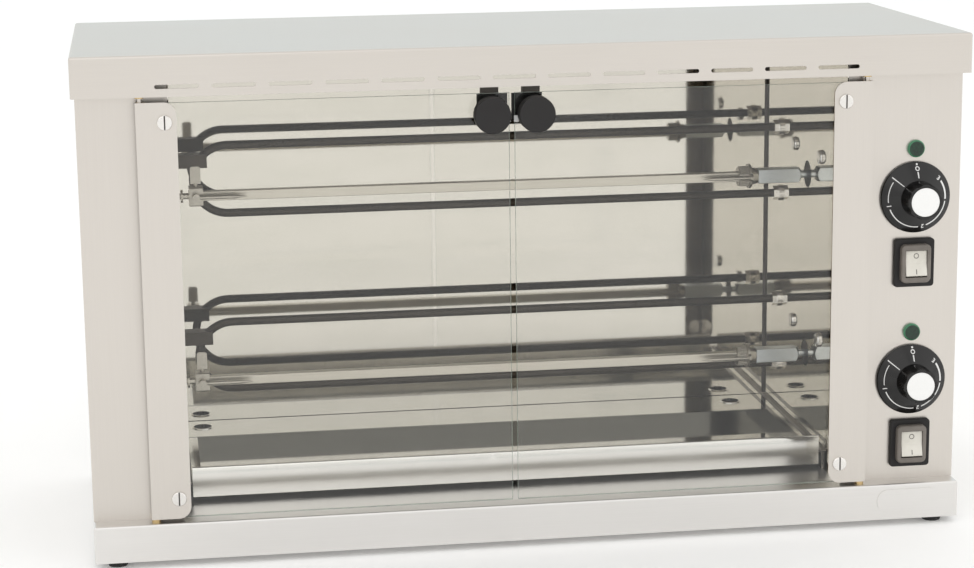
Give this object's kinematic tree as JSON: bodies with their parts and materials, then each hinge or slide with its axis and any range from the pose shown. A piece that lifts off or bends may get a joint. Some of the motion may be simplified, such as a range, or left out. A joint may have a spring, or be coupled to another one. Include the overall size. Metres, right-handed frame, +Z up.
{
  "type": "rotisserie oven",
  "caption": "Countertop electric rotisserie oven with two motor-driven spits, hairpin heaters and a pair of side-hinged glass doors.",
  "frame": {"origin": "on the floor under the centre of the oven's box", "axes": "+X to the right seen from the doors, +Y to the back, +Z up"},
  "size_m": [1, 0.414, 0.57],
  "materials": {
    "satin_steel": "satin",
    "mirror_steel": "polished",
    "door_glass": "clear float glass",
    "black_plastic": "fine satin",
    "dial_plastic": "gloss",
    "dial_cap_metal": "satin",
    "element_sheath": "heat-darkened",
    "spit_steel": "ground",
    "cast_fork": "turned and ground",
    "zinc_steel": "zinc plated",
    "screw_steel": "bright",
    "brass": "turned",
    "rubber_black": "matte",
    "green_lens": "translucent",
    "rocker_plastic": "translucent",
    "ring_plastic": "satin",
    "dark_steel": "black oxide",
    "motor_paint": "grey paint",
    "terminal_plastic": "moulded"
  },
  "bodies": {
    "cabinet": {"badge_plate": "satin_steel", "base_plinth": "satin_steel", "cable_gland": "black_plastic", "case_screws": "screw_steel", "chamber_back_wall": "mirror_steel", "chamber_left_wall": "mirror_steel", "chamber_right_wall": "mirror_steel", "control_panel": "satin_steel", "element_brackets": "element_sheath", "element_nuts": "screw_steel", "energy_regulators": "black_plastic", "gear_motors": "motor_paint", "left_outer_panel": "satin_steel", "lower_heating_element": "element_sheath", "lower_hinge_bushes": "brass", "magnet_catches": "black_plastic", "motor_brackets": "zinc_steel", "motor_screws": "screw_steel", "pilot_bodies": "zinc_steel", "pilot_lenses": "green_lens", "rear_panel": "satin_steel", "right_outer_panel": "satin_steel", "rubber_feet": "rubber_black", "spit_brackets": "satin_steel", "switch_housings": "black_plastic", "switch_rings": "ring_plastic", "terminal_block": "terminal_plastic", "top_cover": "satin_steel", "tray_rails": "satin_steel", "upper_heating_element": "element_sheath", "upper_hinge_bushes": "brass"},
    "left_door": {"left_door_plate": "satin_steel", "left_door_glass": "door_glass", "left_door_screws": "screw_steel", "left_door_clamps": "screw_steel", "left_door_knob": "black_plastic", "left_door_strike": "dark_steel"},
    "right_door": {"right_door_plate": "satin_steel", "right_door_glass": "door_glass", "right_door_screws": "screw_steel", "right_door_clamps": "screw_steel", "right_door_knob": "black_plastic", "right_door_strike": "dark_steel"},
    "upper_spit": {"upper_spit_bar": "spit_steel", "upper_drive_socket": "zinc_steel"},
    "lower_spit": {"lower_spit_bar": "spit_steel", "lower_drive_socket": "zinc_steel"},
    "upper_left_fork_body": {"upper_left_fork": "cast_fork"},
    "upper_right_fork_body": {"upper_right_fork": "cast_fork"},
    "lower_left_fork_body": {"lower_left_fork": "cast_fork"},
    "lower_right_fork_body": {"lower_right_fork": "cast_fork"},
    "upper_dial_body": {"upper_dial": "dial_plastic", "upper_dial_cap": "dial_cap_metal"},
    "lower_dial_body": {"lower_dial": "dial_plastic", "lower_dial_cap": "dial_cap_metal"},
    "upper_rocker_body": {"upper_rocker": "rocker_plastic"},
    "lower_rocker_body": {"lower_rocker": "rocker_plastic"},
    "tray": {"drip_tray": "mirror_steel"}
  },
  "joints": [
    {"name": "left_door_hinge", "type": "hinge", "parent": "cabinet", "child": "left_door", "pos_m": [-0.427, -0.178, 0.2865], "axis": [0, 0, -1], "range_deg": [0, 150]},
    {"name": "right_door_hinge", "type": "hinge", "parent": "cabinet", "child": "right_door", "pos_m": [0.3805, -0.178, 0.2865], "axis": [0, 0, 1], "range_deg": [0, 105]},
    {"name": "upper_spit_spin", "type": "hinge", "parent": "cabinet", "child": "upper_spit", "pos_m": [0, -0.01, 0.387], "axis": [1, 0, 0], "continuous": true},
    {"name": "upper_left_fork_slide", "type": "slide", "parent": "upper_spit", "child": "upper_left_fork_body", "axis": [1, 0, 0], "range_m": [0, 0.25]},
    {"name": "upper_right_fork_slide", "type": "slide", "parent": "upper_spit", "child": "upper_right_fork_body", "axis": [-1, 0, 0], "range_m": [0, 0.2]},
    {"name": "lower_spit_spin", "type": "hinge", "parent": "cabinet", "child": "lower_spit", "pos_m": [0, -0.01, 0.167], "axis": [1, 0, 0], "continuous": true},
    {"name": "lower_left_fork_slide", "type": "slide", "parent": "lower_spit", "child": "lower_left_fork_body", "axis": [1, 0, 0], "range_m": [0, 0.25]},
    {"name": "lower_right_fork_slide", "type": "slide", "parent": "lower_spit", "child": "lower_right_fork_body", "axis": [-1, 0, 0], "range_m": [0, 0.2]},
    {"name": "upper_dial_turn", "type": "hinge", "parent": "cabinet", "child": "upper_dial_body", "pos_m": [0.4425, -0.18, 0.3828], "axis": [0, 1, 0], "range_deg": [0, 315]},
    {"name": "upper_rocker_tip", "type": "hinge", "parent": "cabinet", "child": "upper_rocker_body", "pos_m": [0.4425, -0.175, 0.3071], "axis": [1, 0, 0], "range_deg": [0, 16]},
    {"name": "lower_dial_turn", "type": "hinge", "parent": "cabinet", "child": "lower_dial_body", "pos_m": [0.4425, -0.18, 0.1695], "axis": [0, 1, 0], "range_deg": [0, 315]},
    {"name": "lower_rocker_tip", "type": "hinge", "parent": "cabinet", "child": "lower_rocker_body", "pos_m": [0.4425, -0.175, 0.0938], "axis": [1, 0, 0], "range_deg": [0, 16]},
    {"name": "tray_slide", "type": "slide", "parent": "cabinet", "child": "tray", "axis": [0, -1, 0], "range_m": [0, 0.07]}
  ]
}
